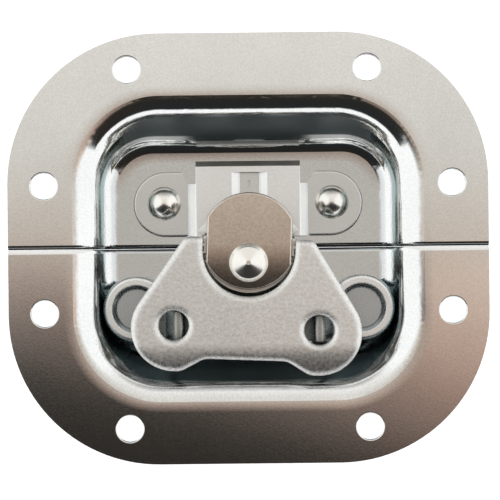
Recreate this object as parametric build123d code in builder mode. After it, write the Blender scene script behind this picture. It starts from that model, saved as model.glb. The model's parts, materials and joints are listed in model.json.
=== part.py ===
"""Butterfly latch in a two-part recessed dish.

Millimetres. The origin is the middle of the fixing holes, on the back of the flange.
+Z points out of the front, and +Y points from the latch half to the keeper half.
"""
import os
from math import atan, cos, radians, sin, tan

from build123d import *

os.makedirs("parts", exist_ok=True)

# Dish: a pressed sheet with a wide flange, cut in two across the middle
dish_sheet = 1.2
flange_width = 112.0
flange_height = 100.4
flange_corner = 35.0
dish_depth = 12.7
mouth_width = 71.5
mouth_height = 64.9
mouth_corner = 16.0
floor_width = 70.0
floor_height = 50.3
floor_corner = 12.0
rim_bend = 5.6
floor_bend = 4.0
split_gap = 0.1
split_edge_round = 1.0

# Fixing holes in the flange: four near the ends, four at the sides
fixing_hole_r = 3.05
fixing_hole_edge = 0.35
fixing_hole_inset = 8.4
end_holes_x = 56.0
end_holes_y = flange_height - 2 * fixing_hole_inset
side_holes_x = flange_width - 2 * fixing_hole_inset
side_holes_y = 29.7

# Keeper: a pressed strap with two ears, a raised bridge and a curved catch
keeper_sheet = 1.5
keeper_rise = 1.2
bridge_half = 12.4
wall_run = 1.9
ear_centre_x = 19.6
ear_centre_y = 10.6
ear_r = 7.75
ear_relief_x = 2.2
ear_relief_y = 3.9
wall_north = 15.4
bridge_north = 19.5
back_lip_run = 1.2
back_lip_rise = 0.8
catch_r = 14.1
catch_lean = 2.0
catch_height = 2.8
catch_half_angle = 58.0
channel_x = 0.4
channel_half = 4.25
channel_floor_half = 2.3
channel_depth = 1.2
channel_north = 18.1
channel_south = 11.6
channel_end_run = 0.1
strap_bend = 0.6
ear_edge_round = 0.5
nick_width = 0.7
nick_length = 1.9
nick_x = 0.3
nick_y = 15.2

# Rivets that hold the keeper
rivet_x = 20.0
rivet_y = 10.8
rivet_shank_r = 2.2
rivet_head_r = 4.0
rivet_head_height = 2.1
rivet_tail_r = 3.4
rivet_tail_height = 0.8

# Spindle axis, and the small turn of the claw and wing as they stand
spindle_y = -3.4
rest_turn = 2.4
spindle_shank_r = 2.5
spindle_head_r = 4.55
spindle_head_height = 2.2
spindle_head_edge = 0.5
spindle_head_shoulder = 0.85
spindle_head_bend = 0.5
spindle_pip_r = 0.55
spindle_pip_height = 0.25
spindle_tail_r = 3.6
spindle_tail_height = 1.2

# Base plate: raised off the floor on two round weld pans, with a drawn hub and two wing stops
base_sheet = 1.5
base_lift = 2.5
pan_x = 26.8
pan_y = -14.3
pan_end_r = 7.9
pan_foot_r = 4.4
pan_under_r = 6.3
pan_floor_r = 4.8
pan_mouth_r = 5.7
pan_edge_round = 0.9
base_half = 21.5
base_bar = 12.2
hub_plate_r = 10.5
hub_foot_r = 9.0
hub_top_r = 6.6
hub_rise = 0.7
stop_foot_x = 20.3
stop_edge_x = 17.6
stop_inner_x = 15.1
stop_north = -14.6
stop_south = -22.0
stop_edge_round = 1.0

# Claw: turning bracket with hinge cheeks and a turned-down hook
claw_sheet = 1.4
claw_clearance = 0.4
claw_end_r = 10.95
claw_end_y = 3.8
claw_half = 10.5
hook_half_angle = 20.0
hook_clearance = 0.3
hook_draw = 0.5
cheek_half_length = 3.1
cheek_above_pin = 2.1
cheek_corner = 1.4

# Washers and sleeve on the spindle
spring_washer_r = 5.8
spring_washer_sheet = 0.5
washer_r = 5.0
washer_sheet = 1.0
sleeve_r = 4.6

# Cover disc
disc_sheet = 1.4
disc_r = 11.3
disc_y = 5.08
disc_half = 9.95
disc_edge_round = 0.45

# Wing and its hinge
wing_sheet = 2.2
wing_ear_sheet = 1.6
wing_above_flange = 0.3
lobe_x = 16.8
lobe_y = -15.65
lobe_r = 10.05
arm_x = 13.8
arm_y = 3.7
arm_corner = 2.0
notch_half = 10.8
notch_y = 2.9
waist_y = -22.6
waist_half = 9.6
waist_flare = 5.4
waist_bend = 4.0
finger_hole_x = 16.9
finger_hole_y = -15.1
finger_hole_r = 3.5
finger_hole_edge = 0.6
wing_edge_round = 0.7
notch_edge_round = 0.5
hinge_y = 3.6
hinge_drop = 2.7
wing_ear_r = 2.1
pin_r = 1.25
pin_head_r = 1.9
pin_head_height = 0.75

# Clearances
fit_gap = 0.05
running_gap = 0.08
side_play = 0.15
axial_play = 0.2
overcut = 5.0
near = 0.01

# Heights that follow from the stack
flange_front = dish_sheet
floor_front = flange_front - dish_depth
floor_back = floor_front - dish_sheet
keeper_ear_top = floor_front + keeper_sheet
bridge_top = keeper_ear_top + keeper_rise
bridge_under = bridge_top - keeper_sheet
catch_top = bridge_top + catch_height
base_top = floor_front + base_lift + base_sheet
hub_top = base_top + hub_rise
claw_under = catch_top + claw_clearance
claw_top = claw_under + claw_sheet
hook_end = base_top + claw_clearance
wing_under = flange_front + wing_above_flange
wing_top = wing_under + wing_sheet
hinge_z = wing_under - hinge_drop
cheek_top = hinge_z + cheek_above_pin
disc_under = cheek_top + axial_play
disc_top = disc_under + disc_sheet
washer_top = hub_top - base_sheet - axial_play
washer_under = washer_top - washer_sheet

# Planes that carry the turning pieces: their origin is on the spindle axis
turn = radians(rest_turn)
turned_x = Vector(cos(turn), -sin(turn), 0)
turned_y = Vector(sin(turn), cos(turn), 0)
turned = Plane(origin=(0, spindle_y, 0), x_dir=turned_x, z_dir=(0, 0, 1))
turned_side = Plane(origin=(0, spindle_y, 0), x_dir=turned_y, z_dir=turned_x)


def wall_shift(top, bottom):
    """Sideways distance between the two faces of a sloping dish wall."""
    slope = atan(2 * dish_depth / (top - bottom))
    return dish_sheet * (1 / sin(slope) - 1 / tan(slope))


def within(width, height):
    """Selector for edges that lie inside a centred rectangle."""

    def test(edge):
        box = edge.bounding_box()
        inside_x = max(abs(box.min.X), abs(box.max.X)) < width / 2 + near
        inside_y = max(abs(box.min.Y), abs(box.max.Y)) < height / 2 + near
        return inside_x and inside_y

    return test


def pressing(seat, drop, mouth, base, rim_r, foot_r, margin):
    """Solid above one face of the dish sheet, from its flange down to its floor."""
    width, height, corner = mouth
    with BuildPart() as form:
        with BuildSketch(Plane.XY.offset(seat)):
            RectangleRounded(width, height, corner)
        with BuildSketch(Plane.XY.offset(seat - drop)):
            RectangleRounded(*base)
        loft()
        fillet(form.edges().group_by(Axis.Z)[0], foot_r)
        with BuildSketch(Plane.XY.offset(seat)):
            RectangleRounded(flange_width + margin, flange_height + margin, flange_corner + margin / 2)
        extrude(amount=overcut)
        at_seat = form.edges().filter_by_position(Axis.Z, seat - near, seat + near)
        fillet(at_seat.filter_by(within(width, height)), rim_r)
    return form.part


# Whole dish: the solid above the back face, less the solid above the front face
shift_x = wall_shift(mouth_width, floor_width)
shift_y = wall_shift(mouth_height, floor_height)
back_mouth = (mouth_width + 2 * shift_x, mouth_height + 2 * shift_y, mouth_corner + shift_x)
back_floor = (floor_width + 2 * shift_x, floor_height + 2 * shift_y, floor_corner + shift_x)
front_mouth = (mouth_width, mouth_height, mouth_corner)
front_floor = (floor_width, floor_height, floor_corner)
back_form = pressing(
    0, dish_depth, back_mouth, back_floor, rim_bend - dish_sheet, floor_bend + dish_sheet, 0
)
front_form = pressing(
    flange_front, dish_depth, front_mouth, front_floor, rim_bend, floor_bend, overcut
)
with BuildPart() as dish:
    add(back_form)
    add(front_form, mode=Mode.SUBTRACT)
    with GridLocations(end_holes_x, end_holes_y, 2, 2):
        Hole(fixing_hole_r)
    with GridLocations(side_holes_x, side_holes_y, 2, 2):
        Hole(fixing_hole_r)
    on_front = dish.edges().filter_by_position(Axis.Z, flange_front - near, flange_front + near)
    rounds = on_front.filter_by(GeomType.CIRCLE)
    fillet(rounds.filter_by(lambda edge: abs(edge.radius - fixing_hole_r) < near), fixing_hole_edge)


def front_of_cut(solid, cut_y, inward):
    """Edges of the cut face that lie on the front of the sheet."""
    probe = Vector(0, inward * near, split_edge_round / 2)
    on_cut = solid.edges().filter_by_position(Axis.Y, cut_y - near, cut_y + near)
    along = on_cut.filter_by(Axis.Z, reverse=True)
    return along.filter_by(lambda edge: not solid.is_inside(edge @ 0.5 + probe))


# Upper dish half, which carries the keeper
with BuildPart() as upper_dish:
    add(dish.part)
    split(bisect_by=Plane.XZ.offset(-split_gap / 2), keep=Keep.BOTTOM)
    with Locations((-rivet_x, rivet_y, floor_front), (rivet_x, rivet_y, floor_front)):
        Hole(rivet_shank_r + fit_gap)
    fillet(front_of_cut(upper_dish.part.solid(), split_gap / 2, 1), split_edge_round)
upper_dish.part.label = "upper_dish"
export_step(upper_dish.part, "parts/upper_dish.step")

# Lower dish half, which carries the base plate
with BuildPart() as lower_dish:
    add(dish.part)
    split(bisect_by=Plane.XZ.offset(split_gap / 2), keep=Keep.TOP)
    fillet(front_of_cut(lower_dish.part.solid(), -split_gap / 2, -1), split_edge_round)
lower_dish.part.label = "lower_dish"
export_step(lower_dish.part, "parts/lower_dish.step")

# Keeper: the strap's section drawn along the latch, then cut to its plan
wall_foot = bridge_half + wall_run
lip_north = bridge_north + back_lip_run
ear_south = ear_centre_y - ear_r
catch_inner = catch_r - catch_lean - keeper_sheet
catch_start = Vector(sin(radians(catch_half_angle)), cos(radians(catch_half_angle)), 0)
catch_plane = Plane(
    origin=(0, spindle_y, 0), x_dir=catch_start, z_dir=catch_start.cross(Vector(0, 0, 1))
)
spindle_axis = Axis((0, spindle_y, 0), (0, 0, 1))
channel_middle = (channel_north + channel_south) / 2
channel_length = channel_north - channel_south
with BuildPart() as keeper:
    with BuildSketch(Plane.XZ):
        with BuildLine():
            Polyline(
                (-ear_centre_x - ear_r, floor_front),
                (-wall_foot, floor_front),
                (-bridge_half, bridge_under),
                (bridge_half, bridge_under),
                (wall_foot, floor_front),
                (ear_centre_x + ear_r, floor_front),
                (ear_centre_x + ear_r, keeper_ear_top),
                (wall_foot, keeper_ear_top),
                (bridge_half, bridge_top),
                (-bridge_half, bridge_top),
                (-wall_foot, keeper_ear_top),
                (-ear_centre_x - ear_r, keeper_ear_top),
                close=True,
            )
        make_face()
    extrude(amount=-lip_north)
    bends = keeper.edges().filter_by(Axis.Y)
    fillet(bends.filter_by(lambda edge: abs(abs(edge.center().X) - bridge_half) < near), strap_bend)
    with BuildSketch(Plane.XY.offset(floor_front)):
        for side in (-1, 1):
            with Locations((side * ear_centre_x, ear_centre_y)):
                Circle(ear_r)
            with Locations((side * (ear_centre_x + bridge_half) / 2, ear_centre_y)):
                Rectangle(ear_centre_x - bridge_half, 2 * ear_r)
        with Locations((0, (ear_south + lip_north) / 2)):
            Rectangle(2 * bridge_half, lip_north - ear_south)
        for side in (-1, 1):
            with BuildLine():
                Polyline(
                    (side * bridge_half, wall_north),
                    (side * wall_foot, wall_north),
                    (side * (wall_foot + ear_relief_x), wall_north + ear_relief_y),
                    (side * bridge_half, wall_north + ear_relief_y),
                    close=True,
                )
            make_face(mode=Mode.SUBTRACT)
        with Locations((0, spindle_y)):
            Circle(catch_r - keeper_sheet, mode=Mode.SUBTRACT)
    extrude(amount=catch_top - floor_front, mode=Mode.INTERSECT)
    ear_edges = keeper.edges().filter_by_position(Axis.Z, keeper_ear_top - near, keeper_ear_top + near)
    ear_rims = ear_edges.filter_by(GeomType.CIRCLE)
    fillet(ear_rims.filter_by(lambda edge: abs(edge.radius - ear_r) < near), ear_edge_round)
    with BuildSketch(Plane.YZ):
        with BuildLine():
            Polyline(
                (lip_north, bridge_under),
                (lip_north, bridge_top + back_lip_rise),
                (bridge_north, bridge_top),
                (bridge_north, bridge_under),
                close=True,
            )
        make_face()
    extrude(amount=bridge_half, both=True)
    with BuildSketch(catch_plane):
        with BuildLine():
            Polyline(
                (catch_r, bridge_under),
                (catch_r, bridge_top),
                (catch_r - catch_lean, catch_top),
                (catch_inner, catch_top),
                (catch_r - keeper_sheet, bridge_under),
                close=True,
            )
        make_face()
    revolve(axis=spindle_axis, revolution_arc=2 * catch_half_angle)
    for level, mode in ((bridge_under, Mode.ADD), (bridge_top, Mode.SUBTRACT)):
        with BuildSketch(Plane.XY.offset(level)):
            with Locations((channel_x, channel_middle)):
                Rectangle(2 * channel_half, channel_length)
        with BuildSketch(Plane.XY.offset(level - channel_depth)):
            with Locations((channel_x, channel_middle)):
                Rectangle(2 * channel_floor_half, channel_length - 2 * channel_end_run)
        loft(mode=mode)
    with BuildSketch(Plane.XY.offset(bridge_top - channel_depth)):
        with Locations((nick_x, nick_y)):
            SlotOverall(nick_length, nick_width, rotation=90)
    extrude(amount=-keeper_sheet, mode=Mode.SUBTRACT)
    with Locations((-rivet_x, rivet_y, keeper_ear_top), (rivet_x, rivet_y, keeper_ear_top)):
        Hole(rivet_shank_r + fit_gap)
keeper.part.label = "keeper"
export_step(keeper.part, "parts/keeper.step")


def domed_rivet(x):
    """A rivet through one keeper ear and the dish floor."""
    dome_r = (rivet_head_r**2 + rivet_head_height**2) / (2 * rivet_head_height)
    crown = keeper_ear_top + rivet_head_height
    half_r = rivet_head_r / 2
    half_z = crown - dome_r + (dome_r**2 - half_r**2) ** 0.5
    tail_end = floor_back - rivet_tail_height
    with BuildPart() as rivet:
        with BuildSketch(Plane(origin=(x, rivet_y, 0), x_dir=(1, 0, 0), z_dir=(0, -1, 0))):
            with BuildLine():
                Polyline(
                    (0, crown),
                    (0, tail_end),
                    (rivet_tail_r, tail_end),
                    (rivet_tail_r, floor_back),
                    (rivet_shank_r, floor_back),
                    (rivet_shank_r, keeper_ear_top),
                    (rivet_head_r, keeper_ear_top),
                )
                ThreePointArc((rivet_head_r, keeper_ear_top), (half_r, half_z), (0, crown))
            make_face()
        revolve(axis=Axis((x, rivet_y, 0), (0, 0, 1)))
    return rivet.part


# Left keeper rivet
with BuildPart() as keeper_rivet_left:
    add(domed_rivet(-rivet_x))
keeper_rivet_left.part.label = "keeper_rivet_left"
export_step(keeper_rivet_left.part, "parts/keeper_rivet_left.step")

# Right keeper rivet
with BuildPart() as keeper_rivet_right:
    add(domed_rivet(rivet_x))
keeper_rivet_right.part.label = "keeper_rivet_right"
export_step(keeper_rivet_right.part, "parts/keeper_rivet_right.step")

# Base plate of the lower half
base_under = base_top - base_sheet
with BuildPart() as base_plate:
    with BuildSketch(Plane.XY.offset(base_under)):
        with Locations((-pan_x, pan_y), (pan_x, pan_y)):
            Circle(pan_end_r)
    extrude(amount=base_sheet)
    fillet(base_plate.edges().group_by(Axis.Z)[-1], pan_edge_round)
    with BuildSketch(Plane.XY.offset(base_under)):
        with Locations((0, pan_y)):
            Rectangle(2 * base_half, base_bar)
        with Locations((0, (pan_y + stop_south) / 2)):
            Rectangle(2 * stop_foot_x, pan_y - stop_south)
        with Locations((0, spindle_y)):
            Circle(hub_plate_r)
    extrude(amount=base_sheet)
    for side in (-1, 1):
        with BuildSketch(Plane.XY.offset(base_under)):
            with Locations((side * pan_x, pan_y)):
                Circle(pan_under_r)
        with BuildSketch(Plane.XY.offset(floor_front)):
            with Locations((side * pan_x, pan_y)):
                Circle(pan_foot_r)
        loft()
        with BuildSketch(Plane.XY.offset(base_top)):
            with Locations((side * pan_x, pan_y)):
                Circle(pan_mouth_r)
        with BuildSketch(Plane.XY.offset(base_top - base_lift)):
            with Locations((side * pan_x, pan_y)):
                Circle(pan_floor_r)
        loft(mode=Mode.SUBTRACT)
    for foot, shrink, mode in ((base_top, 0, Mode.ADD), (base_under, base_sheet, Mode.SUBTRACT)):
        with BuildSketch(Plane.XY.offset(foot)):
            with Locations((0, spindle_y)):
                Circle(hub_foot_r - shrink)
        with BuildSketch(Plane.XY.offset(foot + hub_rise)):
            with Locations((0, spindle_y)):
                Circle(hub_top_r - shrink)
        loft(mode=mode)
    with BuildSketch(Plane.XY.offset(base_under)):
        with Locations((0, spindle_y)):
            Circle(spindle_shank_r + running_gap)
    extrude(amount=hub_top - base_under, mode=Mode.SUBTRACT)
    for side in (-1, 1):
        with BuildSketch(Plane.XZ.offset(-stop_south)):
            with BuildLine():
                Polyline(
                    (side * stop_foot_x, base_under),
                    (side * stop_edge_x, flange_front),
                    (side * stop_inner_x, flange_front),
                    (side * stop_inner_x, flange_front - base_sheet),
                    (side * (stop_edge_x - base_sheet), flange_front - base_sheet),
                    (side * (stop_foot_x - base_sheet), base_under),
                    close=True,
                )
            make_face()
        extrude(amount=stop_south - stop_north)
    stop_edges = base_plate.edges().filter_by(Axis.Y)
    fillet(stop_edges.filter_by_position(Axis.Z, flange_front - near, flange_front + near), stop_edge_round)
base_plate.part.label = "base_plate"
export_step(base_plate.part, "parts/base_plate.step")

# Claw: turning bracket with hinge cheeks and a turned-down hook
hook_inner = catch_r + hook_clearance
hook_outer = hook_inner + claw_sheet
hook_x = hook_outer * sin(radians(hook_half_angle))
hook_y = hook_outer * cos(radians(hook_half_angle))
cheek_inner = claw_half - claw_sheet
cheek_north = hinge_y + cheek_half_length
claw_south = claw_end_y - claw_end_r
with BuildPart() as claw:
    with BuildSketch(turned.offset(claw_under)):
        with Locations((0, claw_end_y)):
            Circle(claw_end_r)
        with Locations((0, (claw_south + cheek_north) / 2)):
            Rectangle(2 * claw_half, cheek_north - claw_south, mode=Mode.INTERSECT)
        with BuildLine():
            Polyline(
                (-cheek_inner, hinge_y),
                (-cheek_inner, cheek_north),
                (-hook_x, hook_y),
                (hook_x, hook_y),
                (cheek_inner, cheek_north),
                (cheek_inner, hinge_y),
                close=True,
            )
        make_face()
    extrude(amount=claw_sheet)
    with BuildSketch(turned.offset(hook_end)):
        with Locations((hook_draw, 0)):
            Circle(hook_outer)
            Circle(hook_inner, mode=Mode.SUBTRACT)
        with BuildLine():
            Polyline((0, 0), (-hook_x * 2, hook_y * 2), (hook_x * 2, hook_y * 2), close=True)
        make_face(mode=Mode.INTERSECT)
    extrude(amount=claw_top - hook_end)
    for offset in (cheek_inner, -claw_half):
        with BuildSketch(turned_side.offset(offset)) as cheek:
            with Locations((hinge_y, (claw_under + cheek_top) / 2)):
                Rectangle(2 * cheek_half_length, cheek_top - claw_under)
            fillet(cheek.vertices().sort_by(Axis.Y)[-2:], cheek_corner)
        extrude(amount=claw_sheet)
    with BuildSketch(turned_side):
        with Locations((hinge_y, hinge_z)):
            Circle(pin_r + fit_gap)
    extrude(amount=claw_half + near, both=True, mode=Mode.SUBTRACT)
    with BuildSketch(turned.offset(claw_under)):
        Circle(spindle_shank_r + fit_gap)
    extrude(amount=claw_sheet, mode=Mode.SUBTRACT)
claw.part.label = "claw"
export_step(claw.part, "parts/claw.step")

# Spring washer under the claw
with BuildPart() as spring_washer:
    with BuildSketch(turned_side):
        with BuildLine():
            Polyline(
                (spindle_shank_r + fit_gap, claw_under),
                (spindle_shank_r + fit_gap, claw_under - spring_washer_sheet),
                (spring_washer_r, hub_top + axial_play),
                (spring_washer_r, hub_top + axial_play + spring_washer_sheet),
                close=True,
            )
        make_face()
    revolve(axis=spindle_axis)
spring_washer.part.label = "spring_washer"
export_step(spring_washer.part, "parts/spring_washer.step")

# Retaining washer under the hub of the base plate
with BuildPart() as retaining_washer:
    with BuildSketch(turned.offset(washer_under)):
        Circle(washer_r)
        Circle(spindle_shank_r + fit_gap, mode=Mode.SUBTRACT)
    extrude(amount=washer_sheet)
retaining_washer.part.label = "retaining_washer"
export_step(retaining_washer.part, "parts/retaining_washer.step")

# Cover disc with two flats
with BuildPart() as cover_disc:
    with BuildSketch(turned.offset(disc_under)):
        with Locations((0, disc_y)):
            Circle(disc_r)
            Rectangle(2 * disc_half, 2 * disc_r, mode=Mode.INTERSECT)
        Circle(spindle_shank_r + fit_gap, mode=Mode.SUBTRACT)
    extrude(amount=disc_sheet)
    fillet(cover_disc.faces().sort_by(Axis.Z)[-1].outer_wire().edges(), disc_edge_round)
cover_disc.part.label = "cover_disc"
export_step(cover_disc.part, "parts/cover_disc.step")

# Sleeve between the claw and the cover disc
with BuildPart() as sleeve:
    with BuildSketch(turned.offset(claw_top)):
        Circle(sleeve_r)
        Circle(spindle_shank_r + fit_gap, mode=Mode.SUBTRACT)
    extrude(amount=disc_under - claw_top)
sleeve.part.label = "sleeve"
export_step(sleeve.part, "parts/sleeve.step")

# Spindle: a headed pin, riveted over the retaining washer
spindle_end = washer_under - spindle_tail_height
shoulder_r = spindle_head_r - spindle_head_shoulder
shoulder_z = disc_top + spindle_head_edge + spindle_head_shoulder
crown_z = disc_top + spindle_head_height
with BuildPart() as spindle:
    with BuildSketch(turned_side):
        with BuildLine():
            Polyline(
                (0, spindle_end),
                (spindle_tail_r, spindle_end),
                (spindle_tail_r, washer_under),
                (spindle_shank_r, washer_under),
                (spindle_shank_r, disc_top),
                (spindle_head_r, disc_top),
                (spindle_head_r, disc_top + spindle_head_edge),
                (shoulder_r, shoulder_z),
                (spindle_pip_r, crown_z),
                (spindle_pip_r, crown_z + spindle_pip_height),
                (0, crown_z + spindle_pip_height),
                close=True,
            )
        make_face()
    revolve(axis=spindle_axis)
    rounds = spindle.edges().filter_by(GeomType.CIRCLE)
    head_edges = rounds.filter_by_position(Axis.Z, disc_top + near, shoulder_z + near)
    fillet(head_edges, spindle_head_bend)
spindle.part.label = "spindle"
export_step(spindle.part, "parts/spindle.step")


def hinge_pin(side):
    """A headed pin through one cheek of the claw and the wing's ear beside it."""
    shank_end = notch_half + wing_ear_sheet + side_play
    head_start = cheek_inner - pin_head_height
    with BuildPart() as pin:
        for start, end, radius in (
            (head_start, cheek_inner, pin_head_r),
            (cheek_inner, shank_end, pin_r),
            (shank_end, shank_end + pin_head_height, pin_head_r),
        ):
            with BuildSketch(turned_side.offset(side * start)):
                with Locations((hinge_y, hinge_z)):
                    Circle(radius)
            extrude(amount=side * (end - start))
    return pin.part


# Left hinge pin
with BuildPart() as hinge_pin_left:
    add(hinge_pin(-1))
hinge_pin_left.part.label = "hinge_pin_left"
export_step(hinge_pin_left.part, "parts/hinge_pin_left.step")

# Right hinge pin
with BuildPart() as hinge_pin_right:
    add(hinge_pin(1))
hinge_pin_right.part.label = "hinge_pin_right"
export_step(hinge_pin_right.part, "parts/hinge_pin_right.step")


def on_notch(edge):
    """Whether an edge of the wing lies on the notch round the cover disc."""
    middle = turned.to_local_coords(edge @ 0.5)
    return abs(middle.X) < notch_half + near and middle.Y > notch_y - notch_half - near


# Wing: two lobes and two arms round the cover disc, with ears turned down to the hinge
with BuildPart() as wing:
    with BuildSketch(turned.offset(wing_under)) as wing_plan:
        with Locations((-lobe_x, lobe_y), (lobe_x, lobe_y)):
            Circle(lobe_r)
        with Locations((-arm_x, arm_y), (arm_x, arm_y)):
            Circle(arm_corner)
        make_hull()
        with BuildLine():
            Polyline(
                (-waist_half, waist_y),
                (waist_half, waist_y),
                (waist_half + waist_flare, lobe_y - lobe_r - near),
                (-waist_half - waist_flare, lobe_y - lobe_r - near),
                close=True,
            )
        make_face(mode=Mode.SUBTRACT)
        with Locations((0, notch_y)):
            Circle(notch_half, mode=Mode.SUBTRACT)
        with Locations((0, notch_y + notch_half / 2)):
            Rectangle(2 * notch_half, notch_half, mode=Mode.SUBTRACT)
        low = wing_plan.vertices().filter_by_position(Axis.Y, lobe_y - lobe_r - near * 2, waist_y + near)
        fillet(low.filter_by(lambda corner: abs(corner.X) < lobe_x - near), waist_bend)
        with Locations((-finger_hole_x, finger_hole_y), (finger_hole_x, finger_hole_y)):
            Circle(finger_hole_r, mode=Mode.SUBTRACT)
    extrude(amount=wing_sheet)
    wing_face = wing.faces().sort_by(Axis.Z)[-1]
    fillet(wing_face.inner_wires().edges(), finger_hole_edge)
    top_edges = wing.faces().sort_by(Axis.Z)[-1].outer_wire().edges()
    fillet(top_edges.filter_by(on_notch, reverse=True), wing_edge_round)
    top_edges = wing.faces().sort_by(Axis.Z)[-1].outer_wire().edges()
    fillet(top_edges.filter_by(on_notch), notch_edge_round)
    for offset in (notch_half, -notch_half - wing_ear_sheet):
        with BuildSketch(turned_side.offset(offset)):
            with Locations((hinge_y, hinge_z)):
                Circle(wing_ear_r)
            with Locations((hinge_y, (hinge_z + wing_under) / 2)):
                Rectangle(2 * wing_ear_r, wing_under - hinge_z)
        extrude(amount=wing_ear_sheet)
    with BuildSketch(turned_side):
        with Locations((hinge_y, hinge_z)):
            Circle(pin_r + running_gap)
    extrude(amount=notch_half + 2 * wing_ear_sheet, both=True, mode=Mode.SUBTRACT)
wing.part.label = "wing"
export_step(wing.part, "parts/wing.step")
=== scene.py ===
import json
import math
from collections import namedtuple

import bpy
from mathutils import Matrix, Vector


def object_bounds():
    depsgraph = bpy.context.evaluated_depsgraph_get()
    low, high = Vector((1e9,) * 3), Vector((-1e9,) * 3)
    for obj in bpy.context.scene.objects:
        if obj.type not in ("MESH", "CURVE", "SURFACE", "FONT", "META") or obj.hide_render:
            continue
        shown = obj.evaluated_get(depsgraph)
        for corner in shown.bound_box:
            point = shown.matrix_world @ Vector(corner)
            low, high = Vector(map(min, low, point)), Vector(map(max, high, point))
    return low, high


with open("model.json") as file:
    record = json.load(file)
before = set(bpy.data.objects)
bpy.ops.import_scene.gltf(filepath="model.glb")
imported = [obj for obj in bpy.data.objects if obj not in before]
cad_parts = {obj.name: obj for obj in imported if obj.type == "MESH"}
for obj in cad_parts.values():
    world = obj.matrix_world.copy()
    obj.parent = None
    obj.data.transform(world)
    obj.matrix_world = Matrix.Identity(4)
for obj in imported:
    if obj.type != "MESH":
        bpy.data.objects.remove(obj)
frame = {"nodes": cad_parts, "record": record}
cad_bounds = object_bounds()
nodes = frame["nodes"]
scene = bpy.context.scene

# Directions here: +X is the latch's right, +Y its north (the keeper half), +Z out of its front
MM = 0.001
Axes = namedtuple("Axes", "x y z")

# Plating: the slow change of tint, the fine grain, and the span of noise over which tints change
SLOW_SCALE, SLOW_DETAIL, SLOW_ROUGH = 60.0, 2.0, 0.5
FINE_DETAIL, FINE_ROUGH = 4.0, 0.6
NOISE_LOW, NOISE_HIGH = 0.3, 0.7

# Soft bends of the pressed sheet in mm: beside the rim, where the rim begins, on the floor, and of a crown
RIM_REACH, RIM_RADIUS, RIM_END = 2.4, 55.0, 7.0
EASE_REACH, EASE_RADIUS = 1.2, 12.5
FLOOR_REACH, FLOOR_RADIUS, FLOOR_END = 2.4, 60.0, 3.0
CROWN_REACH = 100.0

# Parts of a unit normal between which a face begins to count and counts in full
STEEP_SPAN = (0.75, 0.35)
WALL_SPAN = (0.75, 0.55)
SPLIT_SPAN_SOUTH, SPLIT_SPAN_NORTH = (-0.3, -0.7), (0.3, 0.7)
FOOT_SPAN = (-0.45, -0.65)
SIDE_SPAN, STRAIGHT_SIDE_SPAN = (0.5, 0.8), (0.25, 0.45)

# Widths in mm over which a finish fades at its borders, and the heights at which the flange begins
HEIGHT_BLUR, FOOT_BLUR = 0.4, 0.3
SIDE_FADE, FOOT_FADE, SPLIT_FADE, SHADE_FADE = 4.0, 4.0, 1.0, 1.0
FLANGE_SPAN = (-3.0, -2.0)

AO_SAMPLES, EDGE_SAMPLES = 8, 6


def new_material(name):
    """A new node material with its tree and its shader, which is wired to the output."""
    material = bpy.data.materials.new(name)
    material.use_nodes = True
    tree = material.node_tree
    return material, tree, tree.nodes["Principled BSDF"]


def link(tree, source, target):
    tree.links.new(source, target)


def math_node(tree, operation, a, b=None):
    node = tree.nodes.new("ShaderNodeMath")
    node.operation = operation
    for socket, value in ((node.inputs[0], a), (node.inputs[1], b)):
        if value is None:
            continue
        if isinstance(value, (int, float)):
            socket.default_value = value
        else:
            link(tree, value, socket)
    return node.outputs[0]


def plus(tree, a, b):
    return math_node(tree, "ADD", a, b)


def minus(tree, a, b):
    return math_node(tree, "SUBTRACT", a, b)


def product(tree, *values):
    total = values[0]
    for value in values[1:]:
        total = math_node(tree, "MULTIPLY", total, value)
    return total


def absolute(tree, value):
    return math_node(tree, "ABSOLUTE", value)


def larger(tree, a, b):
    return math_node(tree, "MAXIMUM", a, b)


def smaller(tree, a, b):
    return math_node(tree, "MINIMUM", a, b)


def split_axes(tree, vector):
    """The X, Y and Z of a vector."""
    node = tree.nodes.new("ShaderNodeSeparateXYZ")
    link(tree, vector, node.inputs["Vector"])
    return Axes(*node.outputs)


def noise(tree, vector, scale, detail, rough):
    node = tree.nodes.new("ShaderNodeTexNoise")
    node.inputs["Scale"].default_value = scale
    node.inputs["Detail"].default_value = detail
    node.inputs["Roughness"].default_value = rough
    link(tree, vector, node.inputs["Vector"])
    return node.outputs["Fac"]


def ramp(tree, value, stops):
    """Colour that goes through stops of place and colour as a value goes from 0 to 1."""
    node = tree.nodes.new("ShaderNodeValToRGB")
    points = node.color_ramp.elements
    while len(points) < len(stops):
        points.new(0.5)
    for point, (place, colour) in zip(points, stops):
        point.position = place
        point.color = (*colour, 1.0)
    link(tree, value, node.inputs["Fac"])
    return node.outputs["Color"]


def smooth(tree, value, start, end):
    """Smooth step from 0 to 1 as a value goes from start to end."""
    node = tree.nodes.new("ShaderNodeMapRange")
    node.interpolation_type = "SMOOTHSTEP"
    node.inputs["From Min"].default_value = start
    node.inputs["From Max"].default_value = end
    link(tree, value, node.inputs["Value"])
    return node.outputs["Result"]


def smooth_mm(tree, value, start, end):
    """Smooth step from 0 to 1 as a place goes from start to end in mm."""
    return smooth(tree, value, start * MM, end * MM)


def between(tree, value, low, high, blur):
    """1 where a place lies between two marks in mm, and 0 beyond, with a blur to either side of each."""
    above = smooth_mm(tree, value, low - blur, low + blur)
    below = smooth_mm(tree, value, high + blur, high - blur)
    return product(tree, above, below)


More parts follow.
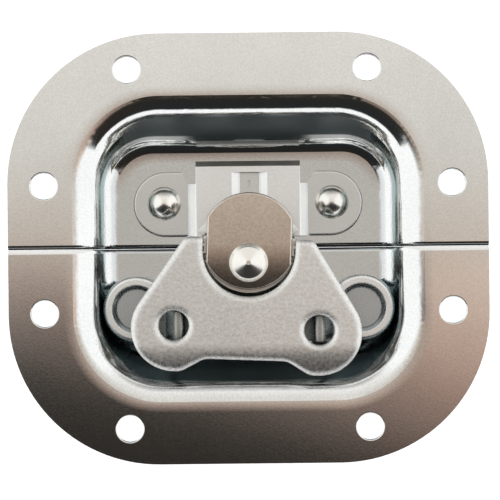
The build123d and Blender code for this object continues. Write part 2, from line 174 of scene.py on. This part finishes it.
def mix_colour(tree, factor, a, b, blend="MIX"):
    node = tree.nodes.new("ShaderNodeMix")
    node.data_type = "RGBA"
    node.blend_type = blend
    for socket, value in ((node.inputs["Factor"], factor), (node.inputs["A"], a), (node.inputs["B"], b)):
        if isinstance(value, tuple):
            socket.default_value = (*value, 1.0)
        elif isinstance(value, (int, float)):
            socket.default_value = value
        else:
            link(tree, value, socket)
    return node.outputs["Result"]


def outside_box(tree, place, half_x, half_y, corner):
    """Distance in metres outside a rounded box round the origin, below zero inside it; sizes in mm."""
    over_x = minus(tree, absolute(tree, place.x), (half_x - corner) * MM)
    over_y = minus(tree, absolute(tree, place.y), (half_y - corner) * MM)
    past_x = larger(tree, over_x, 0.0)
    past_y = larger(tree, over_y, 0.0)
    square = plus(tree, product(tree, past_x, past_x), product(tree, past_y, past_y))
    inner = smaller(tree, larger(tree, over_x, over_y), 0.0)
    edge = plus(tree, math_node(tree, "SQRT", square), inner)
    return minus(tree, edge, corner * MM)


def bowl(tree, reach, radius, bend):
    """Height that grows with the square of a reach up to a bend, then straight on; sizes in mm."""
    past = larger(tree, reach, 0.0)
    curved = smaller(tree, past, bend * MM)
    straight = minus(tree, past, curved)
    rise = product(tree, curved, curved, 0.5 / (radius * MM))
    return plus(tree, rise, product(tree, straight, bend / radius))


def steep_painted_shade(tree, place, facing, tint, start, end, shade):
    """Painted shade on upright faces past a height."""
    upright = smooth(tree, absolute(tree, facing.z), *STEEP_SPAN)
    past = smooth_mm(tree, place.z, start, end)
    return mix_colour(tree, product(tree, upright, past), tint, shade)


def wall_share(tree, place, facing, top):
    """How far a face is one of the steep walls below a height."""
    upright = smooth(tree, absolute(tree, facing.z), *WALL_SPAN)
    below = smooth_mm(tree, place.z, top + HEIGHT_BLUR, top - HEIGHT_BLUR)
    return product(tree, upright, below)


def split_faces(tree, place, facing, half_width):
    """How far a face is the upper face of the split, or the lower one at the flange."""
    beside = smooth_mm(tree, absolute(tree, place.y), half_width + SPLIT_FADE, half_width)
    on_flange = smooth_mm(tree, place.z, *FLANGE_SPAN)
    upper = product(tree, smooth(tree, facing.y, *SPLIT_SPAN_SOUTH), beside)
    lower = product(tree, smooth(tree, facing.y, *SPLIT_SPAN_NORTH), beside, on_flange)
    return upper, lower


def side_lift(tree, place, facing, bends):
    """Turn of the shading towards the front on the bends of the side walls."""
    across = absolute(tree, facing.x)
    straight = minus(tree, across, absolute(tree, facing.y))
    sideways = larger(tree, smooth(tree, across, *SIDE_SPAN), smooth(tree, straight, *STRAIGHT_SIDE_SPAN))
    lift = 0.0
    for softness, south, bottom, top in bends:
        north_of = smooth_mm(tree, place.y, south - SIDE_FADE, south)
        share = between(tree, place.z, bottom, top, HEIGHT_BLUR)
        lift = plus(tree, lift, product(tree, sideways, north_of, share, softness))
    return lift


def foot_share(tree, place, facing, bottom, top, clear):
    """How far a face is the bend at the foot of the north wall, to either side of its clear middle."""
    southward = smooth(tree, facing.y, *FOOT_SPAN)
    share = between(tree, place.z, bottom, top, FOOT_BLUR)
    beside = smooth_mm(tree, absolute(tree, place.x), clear, clear + FOOT_FADE)
    return product(tree, southward, share, beside)


def painted_gap_shade(tree, place, tint, reach, stages):
    """Painted shade in narrow gaps, darker where ambient occlusion finds little open sky: each stage has a span of
    open sky, a half width and a shade.
    """
    nook = tree.nodes.new("ShaderNodeAmbientOcclusion")
    nook.samples = AO_SAMPLES
    nook.inputs["Distance"].default_value = reach * MM
    off_middle = absolute(tree, place.x)
    for start, end, half_width, shade in stages:
        closed = smooth(tree, nook.outputs["AO"], start, end)
        within = smooth_mm(tree, off_middle, half_width, half_width - SHADE_FADE)
        tint = mix_colour(tree, product(tree, closed, within), tint, shade, "MULTIPLY")
    return tint


def pressed_height(tree, place, height, mouth, floor_edge):
    """Height with soft bends beside the mouth and round the floor of the dish."""
    off_mouth = larger(tree, outside_box(tree, place, *mouth), -RIM_END * MM)
    beside = minus(tree, RIM_REACH * MM, off_mouth)
    height = minus(tree, height, bowl(tree, beside, RIM_RADIUS, RIM_REACH))
    within = product(tree, off_mouth, -1.0)
    height = plus(tree, height, bowl(tree, within, EASE_RADIUS, EASE_REACH))
    off_floor = smaller(tree, outside_box(tree, place, *floor_edge), FLOOR_END * MM)
    inside = plus(tree, off_floor, FLOOR_REACH * MM)
    return plus(tree, height, bowl(tree, inside, FLOOR_RADIUS, FLOOR_REACH))


def leaning_normal(tree, place, outward, lift, start, end, slope, radius):
    """Normal that leans north by a slope and a dish of a radius past a height, and to the front by a lift."""
    dished = minus(tree, slope, math_node(tree, "DIVIDE", place.y, radius * MM))
    lean = tree.nodes.new("ShaderNodeCombineXYZ")
    link(tree, product(tree, smooth_mm(tree, place.z, start, end), dished), lean.inputs["Y"])
    if lift is not None:
        link(tree, lift, lean.inputs["Z"])
    turn = tree.nodes.new("ShaderNodeVectorTransform")
    turn.vector_type = "VECTOR"
    turn.convert_from = "OBJECT"
    turn.convert_to = "WORLD"
    link(tree, lean.outputs["Vector"], turn.inputs["Vector"])
    tilt = tree.nodes.new("ShaderNodeVectorMath")
    tilt.operation = "ADD"
    link(tree, outward, tilt.inputs[0])
    link(tree, turn.outputs["Vector"], tilt.inputs[1])
    unit = tree.nodes.new("ShaderNodeVectorMath")
    unit.operation = "NORMALIZE"
    link(tree, tilt.outputs["Vector"], unit.inputs[0])
    return unit.outputs["Vector"]


def zinc(
    name, dark, light, rough, rough_spread, grain_scale, grain_depth, grain_tint,
    heights=(), steep=None, ends=(), shade=None, crown=None, soft_edge=None, lean=None, pressing=None,
):
    """Plated metal: a slow change of tint, a fine grain in tint and gloss, and a shallow bump.

    grain_depth is in mm and grain_tint is the darkest. The rest is there for some pieces, in mm:
    heights: start, end and tint past a height.
    steep: start, end and painted shade of upright faces past a height.
    ends: span of the normal's Y, painted shade and dulling of walls that face along the latch.
    shade: reach of gaps and their stages of painted shade.
    crown: start and radius of a slight crown.
    soft_edge: radius of its edges.
    lean: start and end of heights, slope and radius of sheet not quite flat.
    pressing: what the dish has and no other piece, see DISH_PRESSING.
    """
    material, tree, shader = new_material(name)
    vector = tree.nodes.new("ShaderNodeTexCoord").outputs["Object"]
    place = split_axes(tree, vector)
    facing = split_axes(tree, tree.nodes.new("ShaderNodeNewGeometry").outputs["True Normal"])
    slow = noise(tree, vector, SLOW_SCALE, SLOW_DETAIL, SLOW_ROUGH)
    fine = noise(tree, vector, grain_scale, FINE_DETAIL, FINE_ROUGH)
    tint = ramp(tree, slow, [(NOISE_LOW, dark), (NOISE_HIGH, light)])
    speck = ramp(tree, fine, [(NOISE_LOW, (grain_tint,) * 3), (NOISE_HIGH, (1, 1, 1))])
    tint = mix_colour(tree, 1.0, tint, speck, "MULTIPLY")
    roughness = plus(tree, product(tree, minus(tree, fine, 0.5), rough_spread), rough)
    height = product(tree, fine, grain_depth * MM)
    lift = None

    for start, end, colour in heights:
        tint = mix_colour(tree, smooth_mm(tree, place.z, start, end), tint, colour, "MULTIPLY")
    if steep:
        tint = steep_painted_shade(tree, place, facing, tint, *steep)
    # Painted shade: the dish's steep walls get a darker teal tint and duller gloss
    if pressing:
        top, colour, dulling = pressing["walls"]
        walls = wall_share(tree, place, facing, top)
        tint = mix_colour(tree, walls, tint, colour)
        roughness = plus(tree, roughness, product(tree, walls, dulling))
    # Painted shade: faces that look along the latch get a darker tint and a dulling
    for start, end, colour, dulling in ends:
        share = smooth(tree, facing.y, start, end)
        tint = mix_colour(tree, share, tint, colour)
        roughness = plus(tree, roughness, product(tree, share, dulling))
    if pressing:
        half_width, upper_painted_shade, lower_tint, softness = pressing["split"]
        upper, lower = split_faces(tree, place, facing, half_width)
        # Painted shade: the upper face of the split gets a nearly black tint; the lower face gets the plain light
        # tint back
        tint = mix_colour(tree, upper, tint, upper_painted_shade)
        tint = mix_colour(tree, lower, tint, lower_tint)
        lift = plus(tree, product(tree, lower, softness), side_lift(tree, place, facing, pressing["sides"]))
        softness, bottom, top, clear = pressing["foot"]
        foot = foot_share(tree, place, facing, bottom, top, clear)
        # The bend at the foot of the north wall gets the plain light tint back, without the painted shade of the
        # walls
        tint = mix_colour(tree, foot, tint, light)
        lift = plus(tree, lift, product(tree, foot, softness))
    # Painted shade in narrow gaps and under the wing, from ambient occlusion
    if shade:
        tint = painted_gap_shade(tree, place, tint, *shade)
    link(tree, tint, shader.inputs["Base Color"])
    shader.inputs["Metallic"].default_value = 1.0
    link(tree, larger(tree, roughness, 0.0), shader.inputs["Roughness"])

    if crown:
        start, radius = crown
        height = minus(tree, height, bowl(tree, minus(tree, start * MM, place.y), radius, CROWN_REACH))
    if pressing:
        height = pressed_height(tree, place, height, pressing["mouth"], pressing["floor_edge"])
    bump = tree.nodes.new("ShaderNodeBump")
    bump.inputs["Strength"].default_value = 1.0
    bump.inputs["Distance"].default_value = 1.0
    link(tree, height, bump.inputs["Height"])
    if soft_edge:
        edge = tree.nodes.new("ShaderNodeBevel")
        edge.samples = EDGE_SAMPLES
        edge.inputs["Radius"].default_value = soft_edge * MM
        link(tree, edge.outputs["Normal"], bump.inputs["Normal"])
    outward = bump.outputs["Normal"]
    if lean:
        outward = leaning_normal(tree, place, outward, lift, *lean)
    link(tree, outward, shader.inputs["Normal"])
    return material


# The dish's bends and walls, in mm: half width, half height and corner of its mouth and of its floor; top, painted
# shade and dulling of its walls; half width, painted shade of the upper face, plain tint of the lower face and
# softness of its split; softness, south end, bottom and top of each bend of its side walls; softness, bottom, top
# and clear middle of the foot of its north wall
DISH_PRESSING = {
    "mouth": (40.75, 35.75, 20.0),
    "floor_edge": (31.2, 22.8, 9.4),
    # walls: painted shade, a darker teal tint on the steep walls, with duller gloss
    "walls": (-4.0, (0.36, 0.43, 0.43), 0.10),
    # split: painted shade, nearly black, on the upper face; the plain light tint on the lower face
    "split": (2.0, (0.05, 0.055, 0.055), (0.94, 0.945, 0.935), 2.5),
    "sides": [(0.5, -60.0, -4.0, 0.5), (0.95, -7.0, -13.0, -8.4)],
    "foot": (0.5, -10.6, -8.6, 12.0),
}
FINISHES = {
    "dish_zinc": dict(
        dark=(0.89, 0.895, 0.885), light=(0.94, 0.945, 0.935), rough=0.085, rough_spread=0.04,
        grain_scale=2200.0, grain_depth=0.003, grain_tint=0.86,
        heights=[(-11.0, -11.4, (0.76, 0.77, 0.78))],
        # ends: painted shade on the north and south walls, with duller gloss
        ends=[(-0.72, -0.86, (0.20, 0.23, 0.24), 0.22), (0.72, 0.86, (0.26, 0.33, 0.35), 0.22)],
        crown=(4.0, 5000.0), lean=(-9.5, -11.0, 0.018, 1000.0), pressing=DISH_PRESSING,
    ),
    "keeper_zinc": dict(
        dark=(0.92, 0.915, 0.90), light=(0.97, 0.965, 0.95), rough=0.33, rough_spread=0.10,
        grain_scale=2200.0, grain_depth=0.004, grain_tint=0.90,
        # ends: painted shade on the keeper's faces that look south
        heights=[(-9.6, -9.9, (0.86, 0.86, 0.85))], ends=[(-0.40, -0.55, (0.40, 0.40, 0.39), 0.0)],
        lean=(-9.8, -9.2, 0.03, 4000.0),
    ),
    "base_zinc": dict(
        dark=(0.91, 0.91, 0.90), light=(0.96, 0.96, 0.95), rough=0.27, rough_spread=0.08,
        grain_scale=2200.0, grain_depth=0.004, grain_tint=0.90,
        # heights: painted shade on the lowest faces, in the pans and under the wing, and on the stops' tops under
        # the wing
        heights=[(-8.4, -9.6, (0.55, 0.56, 0.57)), (-5.5, -4.0, (0.45, 0.45, 0.43))],
        # steep: painted shade on the base plate's upright faces above a height, the stops under the wing
        steep=(-7.6, -7.0, (0.34, 0.38, 0.39)),
        # shade: painted shade from ambient occlusion, in the pocket beside the wing and under the wing
        shade=(16.0, [(0.50, 0.10, 60.0, (0.60, 0.72, 0.75)), (0.60, 0.40, 22.0, (0.25, 0.26, 0.25))]),
        soft_edge=0.4, lean=(-12.0, -11.0, 0.03, 4000.0),
    ),
    "rivet_steel": dict(
        dark=(0.88, 0.855, 0.80), light=(0.93, 0.905, 0.85), rough=0.20, rough_spread=0.03,
        grain_scale=1800.0, grain_depth=0.0008, grain_tint=0.96,
    ),
    "claw_steel": dict(
        dark=(0.60, 0.59, 0.56), light=(0.70, 0.69, 0.66), rough=0.22, rough_spread=0.08,
        grain_scale=2000.0, grain_depth=0.004, grain_tint=0.88,
    ),
    "disc_steel": dict(
        dark=(0.74, 0.655, 0.57), light=(0.82, 0.735, 0.645), rough=0.17, rough_spread=0.08,
        grain_scale=1800.0, grain_depth=0.004, grain_tint=0.80, crown=(1.0, 100.0),
    ),
    "wing_zinc": dict(
        dark=(0.92, 0.91, 0.89), light=(0.97, 0.96, 0.94), rough=0.28, rough_spread=0.16,
        grain_scale=1300.0, grain_depth=0.012, grain_tint=0.80,
        crown=(-22.3, 33.0), soft_edge=2.0, lean=(-12.0, -11.0, 0.02, 4000.0),
    ),
}
finishes = {name: zinc(name, **settings) for name, settings in FINISHES.items()}
for part in frame["record"]["subparts"]:
    piece = nodes[part["node"]]
    piece.data.materials.clear()
    piece.data.materials.append(finishes[part["material_slot"]])

# White floor under the latch: it glows a little for what looks at it, and keeps the shadow
FLOOR_SIZE, FLOOR_GAP = 6.0, 0.0002
FLOOR_GREY, FLOOR_ROUGH, FLOOR_GLOW = 0.9, 0.9, 0.6
bpy.ops.mesh.primitive_plane_add(size=FLOOR_SIZE, location=(0, 0, cad_bounds[0].z - FLOOR_GAP))
floor = bpy.context.object
floor.name = "floor"
paper, tree, shader = new_material("floor_white")
shader.inputs["Base Color"].default_value = (FLOOR_GREY, FLOOR_GREY, FLOOR_GREY, 1)
shader.inputs["Roughness"].default_value = FLOOR_ROUGH
shader.inputs["Emission Color"].default_value = (1, 1, 1, 1)
rays = tree.nodes.new("ShaderNodeLightPath")
seen = larger(tree, rays.outputs["Is Camera Ray"], rays.outputs["Is Glossy Ray"])
link(tree, product(tree, seen, FLOOR_GLOW), shader.inputs["Emission Strength"])
floor.data.materials.append(paper)

# Studio round the latch: white sides, a pale north, a dark south overhead and a white low south
SOUTH_SPAN, SOUTH_SLANT = (0.02, -0.04), 0.30
ROSY_SPAN, ROSY_TINT = (0.02, 0.12), (1.17, 1.03, 0.98)
PANEL_SPAN, PANEL_SOUTH_SPAN, PANEL_NORTH_SPAN, PANEL_SLANT = (0.10, 0.38), (-0.03, 0.03), (0.3, -0.1), 0.55
LOW_SPAN, LOW_NORTH_SPAN = (0.54, 0.42), (0.25, 0.0)
WHITE, HORIZON_WHITE, HORIZON_SPAN = (1.10, 1.115, 1.115), (1.03, 1.04, 1.04), (0.35, 0.15)
OVERHEAD_FROM_SOUTH_TO_NORTH = [
    (0.02, (0.018, 0.024, 0.026)),
    (0.20, (0.021, 0.023, 0.023)),
    (0.441, (0.024, 0.022, 0.0185)),
    (0.449, (0.078, 0.065, 0.057)),
    (0.458, (0.18, 0.142, 0.122)),
    (0.470, (0.29, 0.215, 0.18)),
    (0.482, (0.43, 0.335, 0.28)),
    (0.502, (0.58, 0.50, 0.43)),
    (0.519, (0.69, 0.66, 0.61)),
    (0.552, (0.81, 0.785, 0.745)),
    (0.80, (0.95, 0.94, 0.92)),
    (0.91, (0.50, 0.50, 0.49)),
    (0.96, (0.12, 0.13, 0.13)),
    (1.0, (0.06, 0.065, 0.065)),
]
world = bpy.data.worlds.new("studio")
scene.world = world
world.use_nodes = True
tree = world.node_tree
heading = split_axes(tree, tree.nodes.new("ShaderNodeTexCoord").outputs["Generated"])
southern = smooth(tree, heading.y, *SOUTH_SPAN)
slant = plus(tree, heading.y, product(tree, heading.x, SOUTH_SLANT, southern))
overhead = ramp(tree, plus(tree, product(tree, slant, 0.5), 0.5), OVERHEAD_FROM_SOUTH_TO_NORTH)
rosy = product(tree, smooth(tree, heading.x, *ROSY_SPAN), southern)
overhead = mix_colour(tree, rosy, overhead, ROSY_TINT, "MULTIPLY")
across = absolute(tree, heading.x)
panel = product(
    tree,
    smooth(tree, across, *PANEL_SPAN),
    smooth(tree, plus(tree, heading.y, product(tree, across, PANEL_SLANT)), *PANEL_SOUTH_SPAN),
    smooth(tree, minus(tree, heading.y, across), *PANEL_NORTH_SPAN),
)
low_south = product(tree, smooth(tree, heading.z, *LOW_SPAN), smooth(tree, heading.y, *LOW_NORTH_SPAN))
white = mix_colour(tree, smooth(tree, heading.z, *HORIZON_SPAN), WHITE, HORIZON_WHITE)
white = mix_colour(tree, low_south, white, WHITE)
sky = mix_colour(tree, larger(tree, panel, low_south), overhead, white)
background = tree.nodes["Background"]
link(tree, sky, background.inputs["Color"])
background.inputs["Strength"].default_value = 1.0

# Camera straight in front, a little off the middle and turned as the photo is
SENSOR_WIDTH = 36.0
CAMERA_DISTANCE, FRAME_WIDTH, FLANGE_FRONT = 0.45, 0.1164, 0.0012
CAMERA_X, CAMERA_Y, CAMERA_ROLL = 0.00035, -0.00047, -0.6
camera_data = bpy.data.cameras.new("camera")
camera = bpy.data.objects.new("camera", camera_data)
scene.collection.objects.link(camera)
scene.camera = camera
camera_data.sensor_width = SENSOR_WIDTH
camera_data.lens = SENSOR_WIDTH * CAMERA_DISTANCE / FRAME_WIDTH
camera.location = (CAMERA_X, CAMERA_Y, CAMERA_DISTANCE + FLANGE_FRONT)
camera.rotation_euler = (0, 0, math.radians(CAMERA_ROLL))
scene.view_settings.view_transform = "Standard"
